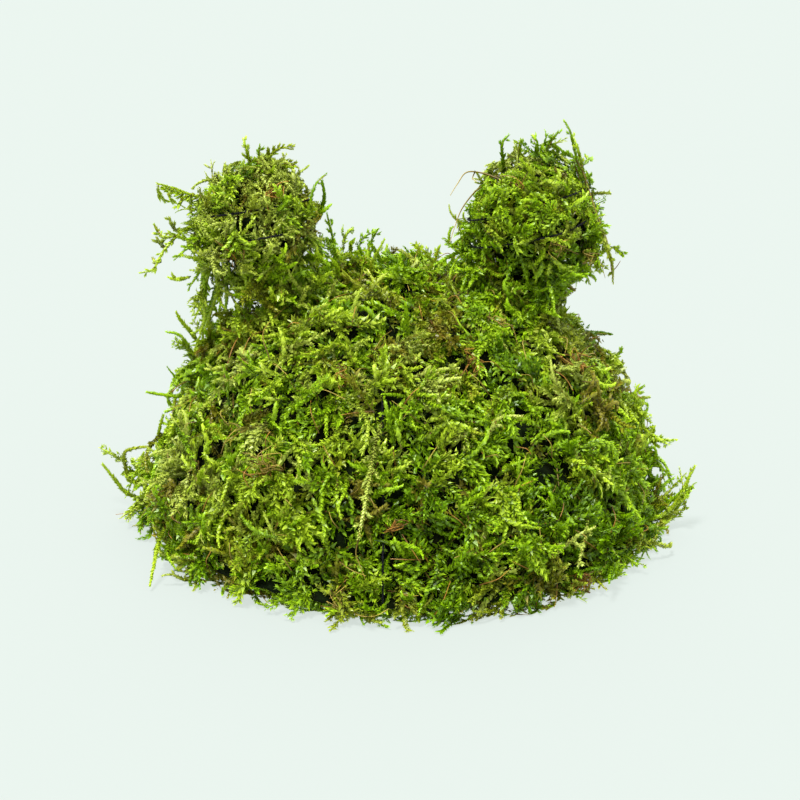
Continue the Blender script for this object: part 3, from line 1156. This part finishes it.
# the same, with a depth and places in millimetres
FREE_STEMS = (
    (TAN_WOOD, 0.3, (-2, -3, -3, -3, -3), [(21, 80), (17.2, 82), (13.6, 82.2), (11.6, 79.4), (10, 76.6)]),
    (TAN_WOOD, 0.3, (-3, -4, -4, -4, -4), [(21, 78), (17, 79.4), (13, 75), (11, 70), (10, 66.4)]),
    (TAN_WOOD, 0.2, -3, [(15.4, 82.4), (14.8, 80.6), (15.6, 79.6)]),
    (TAN_WOOD, 0.2, -3.6, [(37, 85), (38.6, 81.3), (40.9, 73.6), (43.6, 66.9), (45.2, 61)]),
    (TAN_WOOD, 0.16, (-3, -3.4, -3.4, -3.4, -3.4), [(36.4, 85), (38, 80), (40, 74), (42.6, 68), (44.4, 62)]),
    (DARK_WOOD, 0.2, -3, [(44.6, 63), (45.2, 60), (45.4, 57.4)]),
    (DARK_WOOD, 0.16, -3, [(45.2, 59.6), (46, 60.6), (46.6, 62)]),
    (TAN_WOOD, 0.12, -4, [(40, 66), (42, 62.5), (43.6, 58.6)]),
    (DARK_WOOD, 0.2, (2, 1, 0, 0), [(-48, 4), (-56, 3.5), (-61, 2.2), (-64.4, 1.6)]),
    (TAN_WOOD, 0.18, 2, [(2.4, 57), (2.6, 61), (3.6, 64)]),
    (DARK_WOOD, 0.2, (4, 3, 3), [(52, 24), (49, 34), (44.5, 35)]),
)
# where a knot is, how far it spreads, and how many rootlets it has
KNOTS = (
    (on_dome(-34, 31, 2.5), 3.6, 12, TAN_WOOD),
    (on_dome(-36, 28, 2.5), 3.0, 7, DARK_WOOD),
    (on_dome(66, 47, 2.2), 3.2, 9, DARK_WOOD),
    (on_dome(-21, 52.5, 1.2), 2.6, 7, DARK_WOOD),
    (on_dome(26, 55.5, 1.2), 2.6, 7, DARK_WOOD),
    (on_dome(48, 63, 1.5), 3.0, 8, TAN_WOOD),
    (on_dome(42, 3.5, 2.5), 3.6, 12, DARK_WOOD),
    (on_dome(-14, 3.5, 3), 2.4, 7, TAN_WOOD),
    (on_dome(-2, 21.5, 1.2), 2.6, 7, DARK_WOOD),
    ((-36.0, -11.0, 66.0), 3.0, 8, DARK_WOOD),
    ((33.0, -13.0, 68.0), 3.0, 8, TAN_WOOD),
    ((24.0, -9.0, 80.0), 2.6, 8, DARK_WOOD),
    ((-27.0, -8.0, 79.0), 2.6, 8, DARK_WOOD),
    ((40.0, -6.0, 64.0), 2.6, 8, TAN_WOOD),
)
grown = []
for wood, thick, spots in DOME_STEMS:
    grown.append(stem([on_dome(*spot) for spot in spots], thick, STEM_TIP, wood))
for wood, thick, depth, spots in FREE_STEMS:
    grown.append(stem(at_depth(depth, spots), thick, STEM_TIP, wood))
for centre, size, count, wood in KNOTS:
    for _ in range(count):
        stops = centre + np.cumsum(rng.normal(0, size * 0.5, (6, 3)) * (1, 0.6, 0.8), axis=0)
        stops = centre + (stops - stops.mean(0))
        grown.append(stem(stops, 0.14, 0.06, wood))
for way in spread_ways(LOOSE_STEMS, 0.0):
    place = dome_surface(way[None])[0] + way * 1.5
    heading = unit(np.cross(way, rng.normal(0, 1, 3)))
    reach = rng.uniform(3, 8)
    middle = place + heading * reach * 0.5 + way * rng.uniform(0.5, 2)
    end = place + heading * reach + way * rng.normal(0.3, 1)
    grown.append(stem([place, middle, end], 0.15, STEM_TIP, rng.choice([DARK_WOOD, TAN_WOOD])))
add_fronds("moss_stems", grown)


# Thread
# Black cotton thread of two plies, wound tight to hold the moss: over the dome, and twice round
# each ball.

PLY_RADIUS = 0.13
PLY_TWIST = 3.2
PLY_SIDES = 4
PLY_OVERLAP = 0.9


def plied(cord, closed):
    """Two plies twisted round each other along a cord: points and faces."""
    ways = np.roll(cord, -1, axis=0) - np.roll(cord, 1, axis=0) if closed else np.gradient(cord, axis=0)
    ways = units(ways)
    across = units(np.cross(ways, cord - cord.mean(0)))
    up = np.cross(ways, across)
    along = lengths_along(cord)
    turn = (np.arange(PLY_SIDES) * math.tau / PLY_SIDES)[:, None]
    ring = (across[:, None] * np.cos(turn) + up[:, None] * np.sin(turn)) * PLY_RADIUS
    faces = tube_faces(len(cord), PLY_SIDES, closed)
    parts = []
    for ply in (0, math.pi):
        lie = along * PLY_TWIST + ply
        aside = across * np.cos(lie)[:, None] + up * np.sin(lie)[:, None]
        middle = cord + aside * PLY_RADIUS * PLY_OVERLAP
        parts.append(((middle[:, None] + ring).reshape(-1, 3), faces))
    return joined(parts)


thread_material, wire = new_material("black_thread")
colour = wire.grain(3000, 3).between(0.3, 0.7).mix(rgb(6, 6, 9), rgb(22, 22, 28))
principled(wire, Base_Color=colour, Roughness=0.75, Specular_IOR_Level=0.2).cover()
for name, cord, closed in (
    ("thread_dome", dome_cord, False),
    ("thread_ball_left", ball_cords["left"], True),
    ("thread_ball_right", ball_cords["right"], True),
):
    thread = add_mesh(name + "_twist", *plied(cord, closed), thread_material)
    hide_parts(name)


# Surroundings
# A plain pale floor, soft light from all round and from above, and the camera.

CAMERA_DISTANCE = 0.6
CAMERA_HEIGHT_ANGLE = math.radians(20)
AIM = Vector((0, 0, 0.035))
SENSOR = 36.0
PHOTO_SIZE = 800
AIM_PIXEL = (403, 374.5)
PIXEL = 0.22 * MM
FLOOR_REACH = 6.0
FLOOR_COLOUR = (0.08, 0.085, 0.0825, 1)
FLOOR_GLOW = (0.634, 0.700, 0.659, 1)
SKY_COLOUR = (0.837, 0.922, 0.871, 1)

corners = [(-1, -1, 0), (1, -1, 0), (1, 1, 0), (-1, 1, 0)]
floor_mesh = bpy.data.meshes.new("floor")
floor_mesh.from_pydata([Vector(corner) * FLOOR_REACH for corner in corners], [], [(0, 1, 2, 3)])
floor = bpy.data.objects.new("floor", floor_mesh)
bpy.context.collection.objects.link(floor)
floor_material, wire = new_material("pale_floor")
shader = principled(
    wire,
    Base_Color=FLOOR_COLOUR,
    Roughness=0.9,
    Specular_IOR_Level=0.0,
    Emission_Color=FLOOR_GLOW,
    Emission_Strength=1.0,
)
shader.cover()
floor_mesh.materials.append(floor_material)

world = bpy.data.worlds.new("soft_light")
world.use_nodes = True
sky = world.node_tree.nodes["Background"].inputs
sky["Color"].default_value = SKY_COLOUR
sky["Strength"].default_value = 1.0
bpy.context.scene.world = world


def add_sun(name, strength, spread, height, heading):
    """A soft sun; its height and heading are in degrees, and heading 0 is behind the camera."""
    light = bpy.data.lights.new(name, "SUN")
    light.energy = strength
    light.angle = math.radians(spread)
    sun = bpy.data.objects.new(name, light)
    turn = Matrix.Rotation(math.radians(heading), 4, "Z")
    sun.matrix_world = turn @ Matrix.Rotation(math.radians(90 - height), 4, "X")
    bpy.context.collection.objects.link(sun)


add_sun("key", 4.6, 14, 69, -30)
add_sun("fill", 0.3, 60, 50, 60)
add_sun("rim", 1.3, 50, 38, 180)

camera_data = bpy.data.cameras.new("camera")
camera_data.sensor_width = SENSOR
camera_data.lens = SENSOR * CAMERA_DISTANCE / (PHOTO_SIZE * PIXEL)
camera_data.shift_x = (PHOTO_SIZE / 2 - AIM_PIXEL[0]) / PHOTO_SIZE
camera_data.shift_y = (AIM_PIXEL[1] - PHOTO_SIZE / 2) / PHOTO_SIZE
camera_data.clip_start = 0.01
camera_data.clip_end = 50.0
camera = bpy.data.objects.new("camera", camera_data)
away = Vector((0, -math.cos(CAMERA_HEIGHT_ANGLE), math.sin(CAMERA_HEIGHT_ANGLE)))
camera.location = AIM + away * CAMERA_DISTANCE
camera.rotation_euler = (-away).to_track_quat("-Z", "Y").to_euler()
bpy.context.collection.objects.link(camera)
bpy.context.scene.camera = camera
bpy.context.scene.view_settings.view_transform = "Standard"
